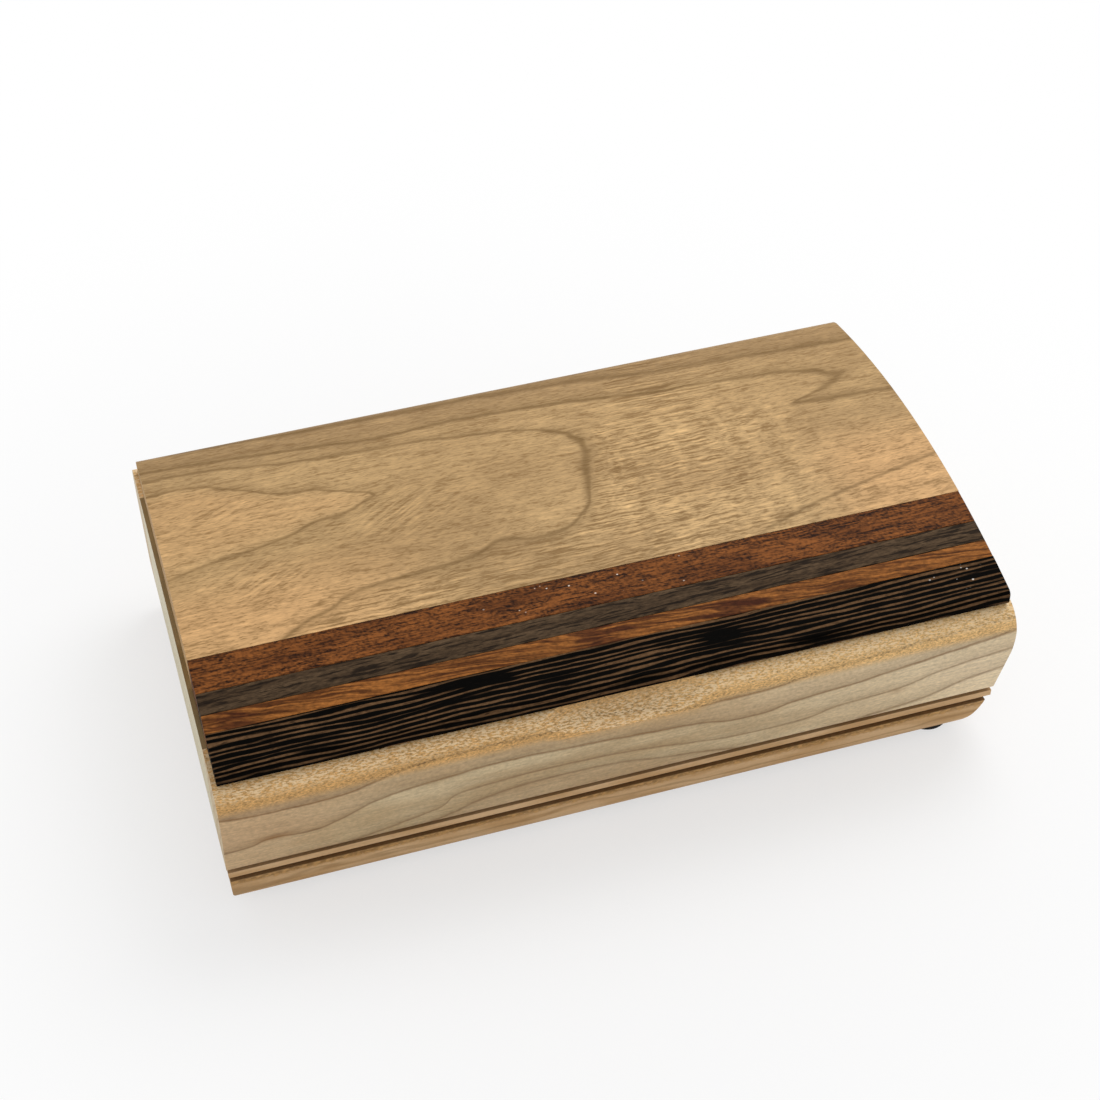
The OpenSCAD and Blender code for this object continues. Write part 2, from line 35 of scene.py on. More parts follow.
# Places on the box in millimetres, from the frame
WALL_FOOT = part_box("front_rail")[0][2] / MM
BASE_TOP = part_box("base_block")[1][2] / MM
BASE_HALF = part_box("base_block")[1] / MM

# Heights of the two grooves round the box, over the band and under it
UPPER_GROOVE = 1.7
LOWER_GROOVE = 1.7
BAND_TOP = WALL_FOOT - UPPER_GROOVE


# ---- Small language for shader nodes ----

class Value:
    """A number that the shader works out at each point. It adds, multiplies and compares like a float."""

    def __init__(self, graph, socket):
        self.graph = graph
        self.socket = socket

    def do(self, operation, *others):
        return self.graph.math(operation, self, *others)

    def __add__(self, other):
        return self.do("ADD", other)

    def __radd__(self, other):
        return self.do("ADD", other)

    def __sub__(self, other):
        return self.do("SUBTRACT", other)

    def __rsub__(self, other):
        return self.graph.math("SUBTRACT", other, self)

    def __mul__(self, other):
        return self.do("MULTIPLY", other)

    def __rmul__(self, other):
        return self.do("MULTIPLY", other)

    def __truediv__(self, other):
        return self.do("DIVIDE", other)

    def __neg__(self):
        return self.do("MULTIPLY", -1.0)

    def __abs__(self):
        return self.do("ABSOLUTE")

    def least(self, other, blend=0.0):
        return self.do("SMOOTH_MIN", other, blend) if blend else self.do("MINIMUM", other)

    def most(self, other, blend=0.0):
        return self.do("SMOOTH_MAX", other, blend) if blend else self.do("MAXIMUM", other)

    def step(self, low, high):
        """0 below low, 1 above high, with a smooth rise between. low may be the larger one."""
        return self.graph.step(self, low, high)

    def bell(self, middle, width):
        """1 at middle, falling to about a third at width to either side."""
        away = (self - middle) / width
        return (-(away * away)).do("EXPONENT")


class Graph:
    """The node tree of one material."""

    def __init__(self, name):
        self.material = bpy.data.materials.new(name)
        self.material.use_nodes = True
        self.tree = self.material.node_tree
        self.tree.nodes.clear()
        where = self.node("TexCoord")
        scaled = self.node("VectorMath", operation="SCALE", inputs={"Scale": 1 / MM})
        self.tree.links.new(where.outputs["Object"], scaled.inputs[0])
        self.point = self.split(scaled.outputs[0])
        self.normal = self.split(where.outputs["Normal"])

    def node(self, kind, inputs=None, **settings):
        made = self.tree.nodes.new("ShaderNode" + kind)
        for key, value in settings.items():
            setattr(made, key, value)
        for key, value in (inputs or {}).items():
            self.feed(made.inputs[key], value)
        return made

    def feed(self, socket, value):
        if isinstance(value, Value):
            value = value.socket
        if isinstance(value, bpy.types.NodeSocket):
            self.tree.links.new(value, socket)
        elif isinstance(value, tuple) and len(value) == 3 and socket.type == "RGBA":
            socket.default_value = (*value, 1.0)
        else:
            socket.default_value = value

    def math(self, operation, *values):
        made = self.node("Math", operation=operation)
        for socket, value in zip(made.inputs, values):
            self.feed(socket, value)
        return Value(self, made.outputs[0])

    def step(self, value, low, high):
        made = self.node("MapRange", interpolation_type="SMOOTHSTEP")
        for key, given in (("Value", value), ("From Min", low), ("From Max", high)):
            self.feed(made.inputs[key], given)
        return Value(self, made.outputs[0])

    def split(self, vector):
        made = self.node("SeparateXYZ", inputs={0: vector})
        return tuple(Value(self, part) for part in made.outputs)

    def grains(self, point, size, seed):
        """The point counted in grains of size, three lengths in millimetres. seed picks another stretch."""
        x, y, z = (along / length for along, length in zip(point, size))
        return self.node("CombineXYZ", inputs={0: x + seed, 1: y - seed, 2: z}).outputs[0]

    def noise(self, point, size, seed, detail=3.0, rough=0.55):
        """Noise from 0 to 1 whose grains measure about size."""
        made = self.node("TexNoise", inputs={
            "Vector": self.grains(point, size, seed), "Scale": 1.0, "Detail": detail, "Roughness": rough})
        return Value(self, made.outputs["Fac"])

    def cells(self, point, size, seed):
        """Distance to the nearest of points scattered about size apart, and that point's random value."""
        made = self.node("TexVoronoi", inputs={"Vector": self.grains(point, size, seed), "Scale": 1.0})
        chance = self.split(made.outputs["Color"])[0]
        return Value(self, made.outputs["Distance"]), chance

    def curve(self, value, points):
        """Height at value of a smooth line through points, which run from left to right."""
        places, heights = zip(*points)
        left = places[0]
        span = places[-1] - left
        low = min(heights)
        rise = max(heights) - low
        made = self.node("FloatCurve", inputs={"Value": (value - left) / span})
        line = made.mapping.curves[0]
        first, *middle, last = [((place - left) / span, (height - low) / rise) for place, height in points]
        line.points[0].location = first
        line.points[-1].location = last
        for place, height in middle:
            line.points.new(place, height)
        made.mapping.update()
        return Value(self, made.outputs[0]) * rise + low

    def mix(self, share, first, second):
        """first where share is 0, second where it is 1."""
        made = self.node("Mix", data_type="RGBA", clamp_factor=True)
        self.feed(made.inputs[0], share)
        self.feed(made.inputs[6], first)
        self.feed(made.inputs[7], second)
        return made.outputs[2]

    def ends(self):
        """1 on the faces that look left or right, where boards that run along the box show end grain."""
        return abs(self.normal[0]).step(0.75, 0.95)

    def scaled(self, colour, factor):
        """A colour made lighter or darker by a factor."""
        made = self.node("VectorMath", operation="SCALE")
        self.feed(made.inputs[0], colour)
        self.feed(made.inputs["Scale"], factor)
        return made.outputs[0]

    def finish(self, colour, rough, height, depth_mm, **shader):
        """Ends the tree in one Principled shader. height bumps the surface by up to depth_mm."""
        out = self.node("OutputMaterial")
        body = self.node("BsdfPrincipled", inputs={"Base Color": colour, "Roughness": rough})
        for key, value in shader.items():
            body.inputs[key.replace("_", " ")].default_value = value
        bump = self.node("Bump", inputs={"Height": height, "Distance": depth_mm * MM})
        self.tree.links.new(bump.outputs[0], body.inputs["Normal"])
        self.tree.links.new(body.outputs[0], out.inputs[0])
        return self.material


def rgb(red, green, blue):
    """A colour written from 0 to 255 as a screen shows it, in the linear values that shaders use."""
    def linear(level):
        level = level / 255
        return level / 12.92 if level <= 0.04045 else ((level + 0.055) / 1.055) ** 2.4
    return linear(red), linear(green), linear(blue)


# ---- Wood ----
# wx, wy and wz are x, y and z with slow and quick noise added, so that straight grain wanders.
# Colours are mixed from named ones, and the other numbers are weights, or lengths in millimetres.

def late_wood(away, core, soft, haze):
    """Darkness beside a growth ring's edge: a dark core on it, and a haze where away is positive."""
    shade = away.step(-0.5 * core, 0.5 * core) * (-(away.most(0.0) / soft)).do("EXPONENT") * haze
    return away.bell(0.0, core).most(shade)


def growth_arcs(across, rise, pith, spacing, bend):
    """Place within a growth ring, from 0 to 1, on end grain whose rings are arcs round the pith."""
    side = across - pith[0]
    up = rise - pith[1]
    radius = (side * side + up * up).do("SQRT") + bend
    return (radius / spacing).do("FRACT")


def painted_glints(g, size, seed, reach, chosen):
    """Painted highlights: bright pinpoints as wide as reach, on those of the points about size apart that
    chosen picks.
    """
    near, chance = g.cells(g.point, size, seed)
    return near.step(*reach) * chance.step(*chosen)


# Edges of the growth rings in the cherry panel: y at places along x, in millimetres
CHERRY_EDGES = {
    "left_top": [
        (-108, 38.5), (-97, 39), (-88, 36), (-80, 32), (-72, 27), (-62, 25.5), (-52, 21.5), (-46, 18)],
    "left_low": [(-108, 0), (-95, 3.5), (-83, 5.5), (-73, 8), (-65, 11.5), (-56, 13), (-50, 16), (-46, 18)],
    "tongue_top": [
        (-108, 47), (-88, 46), (-78, 44), (-65, 41.5), (-35, 39.5), (-20, 37.5), (-5, 35.5), (5, 32.5),
        (14, 26)],
    "tongue_low": [
        (-90, -33), (-83, -29), (-75, -24.5), (-68, -22), (-62, -18.5), (-52, -17), (-27, -14.5),
        (-18, -11), (-10, -13), (-1, -12), (8, -5)],
    "over": [
        (-108, 52), (-90, 51), (-75, 49.5), (-55, 47), (-38, 45.5), (-20, 46.5), (-5, 46), (10, 45),
        (25, 42.5), (40, 40.5), (60, 39), (75, 37), (88, 34.5), (95, 30), (108, 27)],
    "under": [(76, 21), (85, 19), (95, 18.5), (108, 17.5)],
    "back": [(-108, 62), (-80, 59.5), (-60, 58), (0, 57), (30, 54), (45, 51.5), (60, 50.5), (108, 47.5)],
    "front": [(46, -30), (58, -25), (72, -21), (85, -18), (95, -16), (108, -13)],
}
# Where those edges turn across the panel: x at places along y
CHERRY_TURNS = {
    "tongue_end": [
        (-14, -2), (-8, 5), (-3, 9), (4, 11), (12, 12.5), (19, 14.5), (24, 14), (29, 11), (34, 2)],
    "hook": [(17.5, 75), (20.5, 79), (23, 86), (26, 92), (29.5, 96)],
}


def cherry_edges(g, wx, wy):
    """The edges of the growth rings at each point, by name."""
    edge = {name: g.curve(wx, points) for name, points in CHERRY_EDGES.items()}
    for name, points in CHERRY_TURNS.items():
        edge[name] = g.curve(wy, points)
    return edge


def cherry_rings(edge, left_tongue, wx, wy):
    """Darkness of the late wood along the edges of the rings."""
    tongue = (edge["tongue_top"] - wy).least(wy - edge["tongue_low"], 2.0)
    tongue = tongue.least(edge["tongue_end"] - wx, 2.0)
    outside = (wy - edge["over"]).most((wx - edge["hook"]).least(wy - edge["under"], 0.6), 1.2)
    blunt = edge["tongue_end"].bell(13, 4) * wx.step(0, 9)
    tip = wx.bell(91, 9) * wy.bell(27, 8)
    rings = [
        late_wood(-left_tongue, core=0.7, soft=3.0, haze=0.45) * 0.17,
        late_wood(-tongue, core=0.8 + 0.7 * blunt, soft=3.6, haze=0.5) * (0.17 + 0.05 * blunt),
        late_wood(outside, core=0.9 + 1.8 * tip, soft=3.6 + 2.0 * tip, haze=0.5) * 0.19,
        late_wood(wy - edge["back"], core=1.2, soft=4.0, haze=0.65) * 0.17,
        late_wood(wy - edge["front"], core=0.6, soft=3.0, haze=0.2) * 0.16 * wx.step(44, 58),
    ]
    return functools.reduce(Value.most, rings)


def cherry_ripples(x, y, past_end, quick):
    """Waves from -1 to 1 past the end of the middle tongue and round an eye to the right of it."""
    wave_length = 3.3
    turns = 2 * math.pi / wave_length
    waves = (past_end * turns).do("SINE") * past_end.bell(8, 5.5) * y.step(-12, -4) * y.step(32, 24)
    eye_x = (x - 76) / 2.2
    eye_y = y - 24
    eye = (eye_x * eye_x + eye_y * eye_y).do("SQRT") + quick * 9.0
    return waves + (eye * turns).do("SINE") * eye.bell(9, 4.5) * x.step(84, 70)


def cherry_figure(g, edge, wx, wy, slow, quick):
    """How much lighter than its surroundings the figure between the rings is. Below 0 it is darker."""
    x, y, z = g.point
    past_end = wx - edge["tongue_end"] + quick * 14.0
    ripples = cherry_ripples(x, y, past_end, quick)

    # Curl to the right of the middle tongue
    right = wx.step(12, 20) * (wy - edge["over"]).step(-1, -9) * x.step(100, 62)
    curl_zone = right * (0.35 + 0.65 * y.step(34, 14))
    bend = (x + quick * 6.0, y + slow * 5.0 + quick * 2.2, z)
    curl = g.noise(bend, (4.0, 0.95, 4.0), seed=12.0, rough=0.6) - 0.47
    bands = g.noise((x + quick * 10.0, y * 0.35, z), (3.4, 12.0, 12.0), seed=17.0, detail=2.0) - 0.5

    # Streaks in front of the middle tongue
    in_front = (edge["tongue_low"] - wy).step(0.5, 4.0)
    front_right = y.step(-8, -17) * x.step(14, 26)
    streak_zone = in_front.most(front_right) * x.step(78, 40)
    streaks = g.noise((x, wy, z), (13.0, 0.7, 8.0), seed=21.0, rough=0.68) - 0.51

    # Slanting streaks between the two tongues and beside the left one
    fan_zone = (x.bell(-42, 17) * y.bell(9, 10)).most(x.bell(-84, 14) * y.bell(-6, 8) * 0.8)
    fan_zone = fan_zone.most(x.bell(-92, 10) * y.bell(25, 7) * 0.7)
    slant = (x * 0.8 + y * 0.6, y * 0.8 - x * 0.5, z)
    fan = g.noise(slant, (9.0, 1.1, 5.0), seed=31.0, detail=2.0, rough=0.6) - 0.46

    figure = curl_zone * (curl * 1.25 + bands * 0.7) + ripples * 0.09
    return figure + streak_zone * streaks * 2.4 + fan_zone * fan * 1.8


def cherry():
    g = Graph("cherry")
    x, y, z = g.point
    slow = g.noise(g.point, (34, 17, 30), seed=3.1, detail=2.0) - 0.5
    quick = g.noise(g.point, (6, 4, 6), seed=8.3) - 0.5
    wx = x + slow * 3.0 + quick * 2.2
    wy = y + slow * 2.0 + quick * 1.5
    edge = cherry_edges(g, wx, wy)
    left_tongue = (edge["left_top"] - wy).least(wy - edge["left_low"], 1.0).least(-46.5 - wx, 1.5)
    weight = 0.62 + 0.76 * g.noise(g.point, (20, 14, 26), seed=1.9, detail=1.0)
    rings = cherry_rings(edge, left_tongue, wx, wy) * weight

    fibre = g.noise((x, wy, z), (16.0, 0.8, 2.4), seed=41.0, rough=0.62)
    fleck = g.noise((x, wy, z), (2.2, 0.45, 1.5), seed=53.0, detail=1.0, rough=0.6)
    mottle = g.noise((x, wy, z), (8.0, 3.2, 8.0), seed=57.0, detail=2.0)
    pore = g.noise((x, wy, z), (1.8, 0.42, 1.0), seed=47.0, detail=1.0).step(0.58, 0.68)
    light = 1.0 + (fibre - 0.5) * 0.8 + (fleck - 0.5) * 0.75 + (mottle - 0.5) * 0.6 - pore * 0.16
    light = light + cherry_figure(g, edge, wx, wy, slow, quick)

    tone = g.noise(g.point, (46, 24, 40), seed=61.0, detail=2.0)
    rosy_front = y.step(6, -22) * x.step(-25, -80)
    rosy_right = x.step(64, 92) * y.step(10, -12)
    rosy = left_tongue.step(-4, 8) * 0.5 + rosy_front + rosy_right
    dark_grain = ((0.97 - light) * 2.2).most(0.0).least(0.6)
    honey = rgb(188, 154, 106)
    tan = rgb(171, 138, 93)
    pink = rgb(210, 165, 112)
    grey_brown = rgb(160, 128, 86)
    grain_brown = rgb(148, 110, 58)
    ring_brown = rgb(132, 98, 46)
    colour = g.mix(tone.step(0.3, 0.7), honey, tan)
    colour = g.mix(rosy.least(1.0) * 0.8, colour, pink)
    colour = g.mix(y.step(38, 58) * 0.75, colour, grey_brown)
    colour = g.scaled(colour, light)
    colour = g.mix(dark_grain, colour, grain_brown)
    colour = g.scaled(colour, 1.0 - rings * 2.0)
    colour = g.mix((rings * 2.5).least(1.0), colour, ring_brown)

    arc = growth_arcs(y, z, pith=(14, -8), spacing=7.0, bend=quick * 1.2)
    end_grit = g.noise(g.point, (0.6, 0.45, 0.45), seed=71.0, detail=2.0)
    end_pale = rgb(196, 156, 100)
    end_dark = rgb(158, 120, 72)
    end_colour = g.mix(arc.step(0.55, 0.98) * 0.5, end_pale, end_dark)
    end_colour = g.scaled(end_colour, 0.7 + end_grit * 0.6)
    colour = g.mix(g.ends(), colour, end_colour)
    bump = fibre * 0.5 - pore * 0.5
    return g.finish(colour, rough=0.55, height=bump, depth_mm=0.03, Specular_IOR_Level=0.2)


def bubinga():
    g = Graph("bubinga")
    x, y, z = g.point
    warp = g.noise(g.point, (24, 5, 12), seed=2.0, detail=2.0) - 0.5
    wy = y + warp * 2.4
    rows = g.noise((x, wy, z), (14, 1.1, 6), seed=5.0, detail=2.0)
    bead = g.noise((x + y * 0.3, wy, z), (1.0, 0.6, 1.0), seed=9.0, detail=1.0)
    dash = g.noise((x, wy, z), (4.6, 0.5, 1.0), seed=14.0, detail=2.0, rough=0.6)
    tone = g.noise(g.point, (26, 6, 20), seed=23.0, detail=2.0)
    back_edge = y.step(-31, -29)
    light = (rows * 0.5 + bead * 0.6 + dash * 0.7 - back_edge * 0.05).step(0.64, 1.14)
    pore_brown = rgb(34, 14, 6)
    orange_brown = rgb(148, 88, 40)
    red_brown = rgb(116, 66, 28)
    painted_glint_white = rgb(236, 222, 208)
    colour = g.mix(light, pore_brown, g.mix(tone.step(0.35, 0.7), orange_brown, red_brown))
    # Painted highlights: white glints mixed into the colour around the middle of the strip
    glint_zone = x.bell(-2, 30).step(0.3, 0.6)
    glint = glint_zone * painted_glints(g, (1.5, 1.1, 1.1), seed=4.0, reach=(0.26, 0.12), chosen=(0.93, 0.95))
    colour = g.mix(glint * 0.85, colour, painted_glint_white)
    return g.finish(colour, rough=0.55, height=light, depth_mm=0.05, Specular_IOR_Level=0.07)


def bog_oak():
    g = Graph("bog_oak")
    x, y, z = g.point
    warp = g.noise(g.point, (30, 8, 12), seed=3.0, detail=2.0) - 0.5
    wy = y - x * 0.024 + warp * 2.0
    dash = g.noise((x, wy, z), (9.0, 0.72, 2.0), seed=8.0, detail=2.0).step(0.51, 0.6)
    band = g.noise((x, wy, z), (40, 1.6, 6), seed=13.0)
    grit = g.noise((x, wy, z), (1.8, 0.5, 1.0), seed=18.0, detail=2.0, rough=0.65)
    dark_grey = rgb(62, 47, 32)
    warm_grey = rgb(86, 68, 49)
    dash_brown = rgb(26, 17, 10)
    colour = g.mix(band.step(0.3, 0.7), dark_grey, warm_grey)
    colour = g.mix(dash * 0.85, colour, dash_brown)
    colour = g.scaled(colour, 2.2 * grit - 0.08)
    bump = grit * 0.4 - dash * 0.8
    return g.finish(colour, rough=0.6, height=bump, depth_mm=0.04, Specular_IOR_Level=0.06)


def padauk():
    g = Graph("padauk")
    x, y, z = g.point
    warp = g.noise(g.point, (22, 6, 12), seed=6.0, detail=2.0) - 0.5
    wy = y + x * 0.11 + warp * 4.0
    streak = g.noise((x, wy, z), (24, 0.9, 4), seed=11.0, rough=0.62)
    grit = g.noise((x, wy, z), (1.6, 0.6, 1.0), seed=20.0, detail=2.0, rough=0.6)
    shade = g.noise((x, wy, z), (12, 1.4, 9), seed=16.0, detail=2.0)
    patch = x.bell(-100, 8).most(x.bell(-4, 9)).most(x.bell(34, 12))
    dark = (shade + patch * 0.24).step(0.6, 0.78)
    streak_brown = rgb(84, 46, 18)
    orange = rgb(154, 96, 44)
    patch_brown = rgb(62, 26, 12)
    colour = g.mix(streak.step(0.36, 0.62), streak_brown, orange)
    colour = g.mix(dark * 0.8, colour, patch_brown)
    colour = g.scaled(colour, 0.05 + 1.85 * grit)
    return g.finish(colour, rough=0.55, height=grit * 0.5, depth_mm=0.03, Specular_IOR_Level=0.06)


def wenge():
    g = Graph("wenge")
    x, y, z = g.point
    slow = g.noise(g.point, (40, 7, 12), seed=7.0, detail=2.0) - 0.5
    quick = g.noise(g.point, (9, 1.6, 5), seed=12.0, detail=2.0) - 0.5
    wy = y + z * 0.8 - x * 0.006 + slow * 4.0 + quick * 0.5
    stripe_pair = 1.75
    wave = (wy * (2 * math.pi / stripe_pair)).do("SINE")
    breaks = g.noise((x, wy, z), (22, 1.2, 9), seed=22.0) - 0.5
    knot = x.bell(28, 5) * y.bell(-57, 1.8) + x.bell(-34, 6) * y.bell(-54.5, 1.2)
    brown = (wave + breaks * 4.6 - knot * 2.0).step(0.1, 1.1)
    pores = g.noise((x, wy, z), (3.0, 0.5, 1.0), seed=27.0, detail=2.0).step(0.56, 0.68)
    grit = g.noise((x, wy, z), (1.2, 0.5, 0.8), seed=33.0, detail=2.0)
    black = rgb(5, 4, 3)
    stripe_brown = rgb(100, 74, 50)
    pore_brown = rgb(16, 10, 7)
    painted_glint_white = rgb(232, 226, 218)
    colour = g.mix(brown, black, stripe_brown)
    colour = g.mix(pores * 0.6, colour, pore_brown)
    colour = g.scaled(colour, 0.3 + 1.4 * grit)
    # Painted highlights: white glints mixed into the colour near the right end of the strip
    glint_zone = (x.bell(95, 8) * y.bell(-55.5, 4)).step(0.25, 0.6)
    glint = glint_zone * painted_glints(g, (1.4, 1.0, 1.0), seed=2.0, reach=(0.3, 0.14), chosen=(0.72, 0.76))
    colour = g.mix(glint * 0.9, colour, painted_glint_white)
    bump = brown * 0.4 + grit * 0.3 - pores * 0.5
    return g.finish(colour, rough=0.6, height=bump, depth_mm=0.04, Specular_IOR_Level=0.02)


# Edges of the growth rings in the rails: height above the rail's foot at places along it, in millimetres
RAIL_EDGES = {
    "top": [
        (-108, 27), (-85, 26), (-70, 28), (-50, 30.5), (-25, 30.5), (0, 29), (30, 28), (50, 29.5), (80, 31),
        (108, 32)],
    "long": [
        (-108, 10.5), (-102, 11), (-96, 13), (-87, 12), (-80, 14), (-65, 21.5), (-50, 23.5), (-33, 24.5),
        (-20, 24), (0, 22.5), (20, 20.5), (30, 18), (36, 18), (45, 20.5), (60, 22), (80, 25), (108, 28.5)],
    "middle": [
        (-84, -2), (-70, 1.5), (-57, 5.5), (-51, 8), (-47, 13), (-40, 14.5), (-20, 15.5), (0, 14), (20, 10),
        (32, 8), (48, 8), (60, 11.5), (75, 13), (90, 18.5), (108, 21.5)],
    "inner": [(-60, -2), (-50, 1.5), (-35, 8), (-25, 9.5), (-5, 9), (10, 5.5), (20, 3.5), (38, -2)],
    "right": [(62, -2), (72, 1), (86, 3.5), (98, 9), (108, 11.5)],
}
RAIL_EDGE_STRENGTHS = (0.22, 0.22, 0.17, 0.17, 0.15)


def rail_rings(height, edges):
    """Darkness of the late wood along the edges of the rings. The first edge is the thinnest."""
    rings = []
    for number, (edge, strength) in enumerate(zip(edges.values(), RAIL_EDGE_STRENGTHS)):
        rings.append(late_wood(height - edge, core=0.42 + 0.1 * number, soft=3.4, haze=0.5) * strength)
    return functools.reduce(Value.most, rings)


def maple(name, flip=1.0):
    """Maple of the two rails, whose growth rings show as long lines. flip is -1 for the back rail."""
    g = Graph(name)
    x, y, z = g.point
    along = x * flip
    above = z - WALL_FOOT
    quick = g.noise(g.point, (7, 6, 3), seed=9.0) - 0.5
    height = above + quick * 0.9
    edges = {edge: g.curve(along, points) for edge, points in RAIL_EDGES.items()}
    rings = rail_rings(height, edges) * (0.7 + 0.6 * g.noise(g.point, (16, 10, 10), seed=19.0, detail=1.0))
    left_blot = along.bell(-96, 5) * above.bell(13.5, 1.8)
    right_blot = along.bell(77, 2.5) * above.bell(11.8, 1.6) * 0.7

    fibre = g.noise((x, y, height), (14, 4, 0.9), seed=15.0, rough=0.62)
    grit = g.noise(g.point, (1.2, 0.8, 0.8), seed=21.0, detail=2.0, rough=0.6)
    tone = g.noise(g.point, (26, 18, 9), seed=26.0, detail=2.0)
    inner = (edges["inner"] - height).step(-0.5, 1.5)
    rosy = (height - edges["long"]).step(-0.5, 2.5)
    cream = rgb(214, 192, 152)
    tan = rgb(196, 169, 127)
    inner_tan = rgb(186, 155, 116)
    rosy_tan = rgb(208, 176, 134)
    left_tan = rgb(206, 168, 124)
    right_cream = rgb(240, 218, 180)
    ring_brown = rgb(150, 108, 60)
    colour = g.mix(tone.step(0.3, 0.7), cream, tan)
    colour = g.mix(inner * 0.6, colour, inner_tan)
    colour = g.mix(rosy * 0.55, colour, rosy_tan)
    # Darker towards the left end and lighter towards the right: partly the wood's tone and partly painted
    # light that is brighter to the right
    colour = g.mix(along.step(-70, -104) * 0.6, colour, left_tan)
    colour = g.mix(along.step(10, 100) * 0.75, colour, right_cream)
    colour = g.scaled(colour, 1.0 - rings * 2.1 + (fibre - 0.5) * 0.6 + (grit - 0.5) * 0.7)
    colour = g.mix((rings * 2.7 + (left_blot + right_blot) * 0.5).least(1.0), colour, ring_brown)

    # Where the surface turns up it cuts the rays of the wood, which show as a glossy golden fleck, partly
    # painted sheen
    up = g.normal[2]
    upward = up.most(0.0)
    across = y + z
    fleck = g.noise((x + across * 0.4, across, z), (1.2, 0.6, 1.2), seed=31.0, detail=2.0, rough=0.6)
    speck = g.noise((x, across, z), (0.8, 0.55, 0.8), seed=37.0, detail=2.0, rough=0.6)
    # Painted highlights: cream flecks on the faces that look up
    top = up.step(0.42, 0.74)
    turned = (up + abs(along).step(25, 17) * 0.2).step(0.1, 0.4)
    left_gold = rgb(216, 168, 104)
    right_gold = rgb(234, 190, 126)
    painted_highlight_cream = rgb(252, 222, 176)
    # Golden tone on the faces that turn up, partly the wood's figure and partly painted sheen, lighter
    # towards the right
    golden_figure_and_sheen = g.mix(along.step(-40, 80), left_gold, right_gold)
    golden_figure_and_sheen = g.scaled(golden_figure_and_sheen, 1.0 + (speck - 0.5) * 2.0 - rings * 1.5)
    golden_figure_and_sheen = g.mix(top * fleck.step(0.42, 0.6) * 0.85, golden_figure_and_sheen, painted_highlight_cream)
    colour = g.mix(turned, colour, golden_figure_and_sheen)

    arc = growth_arcs(y * flip, z, pith=(-150, -30), spacing=3.6, bend=quick * 0.8)
    end_pale = rgb(226, 204, 166)
    end_dark = rgb(184, 152, 112)
    end_colour = g.mix(arc.step(0.6, 1.0) * 0.5, end_pale, end_dark)
    end_colour = g.scaled(end_colour, 0.8 + 0.35 * grit)
    colour = g.mix(g.ends(), colour, end_colour)
    bump = fibre * 0.25 + upward * fleck * 1.2
    return g.finish(colour, rough=0.5 - 0.15 * upward, height=bump, depth_mm=0.06, Specular_IOR_Level=0.3)


def end_board():
    """Maple end boards: the grain runs from front to back, and the top edge beside the lid is browner from
    painted shade.
    """
    g = Graph("maple_ends")
    x, y, z = g.point
    slow = g.noise(g.point, (20, 40, 8), seed=2.0, detail=2.0) - 0.5
    wz = z + slow * 5.0 + y * 0.05
    ring_spacing = 8.5
    ring = (wz / ring_spacing).do("FRACT")
    line = ring.step(0.9, 0.99) * ring.step(1.0, 0.992)
    haze = ring.step(0.45, 1.0)
    fibre = g.noise((x, y, wz), (1.2, 16, 0.7), seed=7.0, rough=0.6)
    cream = rgb(236, 226, 196)
    haze_cream = rgb(222, 206, 172)
    line_brown = rgb(150, 120, 84)
    painted_shade_gold = rgb(172, 138, 78)
    painted_shade_brown = rgb(112, 86, 44)
    colour = g.mix(haze * 0.4, cream, haze_cream)
    colour = g.mix(line * 0.5, colour, line_brown)
    # Painted shade: the top face beside the lid is darker and browner
    top = g.normal[2].step(0.6, 0.9)
    streak = g.noise(g.point, (1.0, 9.0, 1.0), seed=11.0, detail=2.0)
    colour = g.mix(top * 0.9, colour, g.mix(streak, painted_shade_gold, painted_shade_brown))
    colour = g.scaled(colour, 0.88 + 0.24 * fibre)
    return g.finish(colour, rough=0.5, height=fibre, depth_mm=0.02, Specular_IOR_Level=0.3)


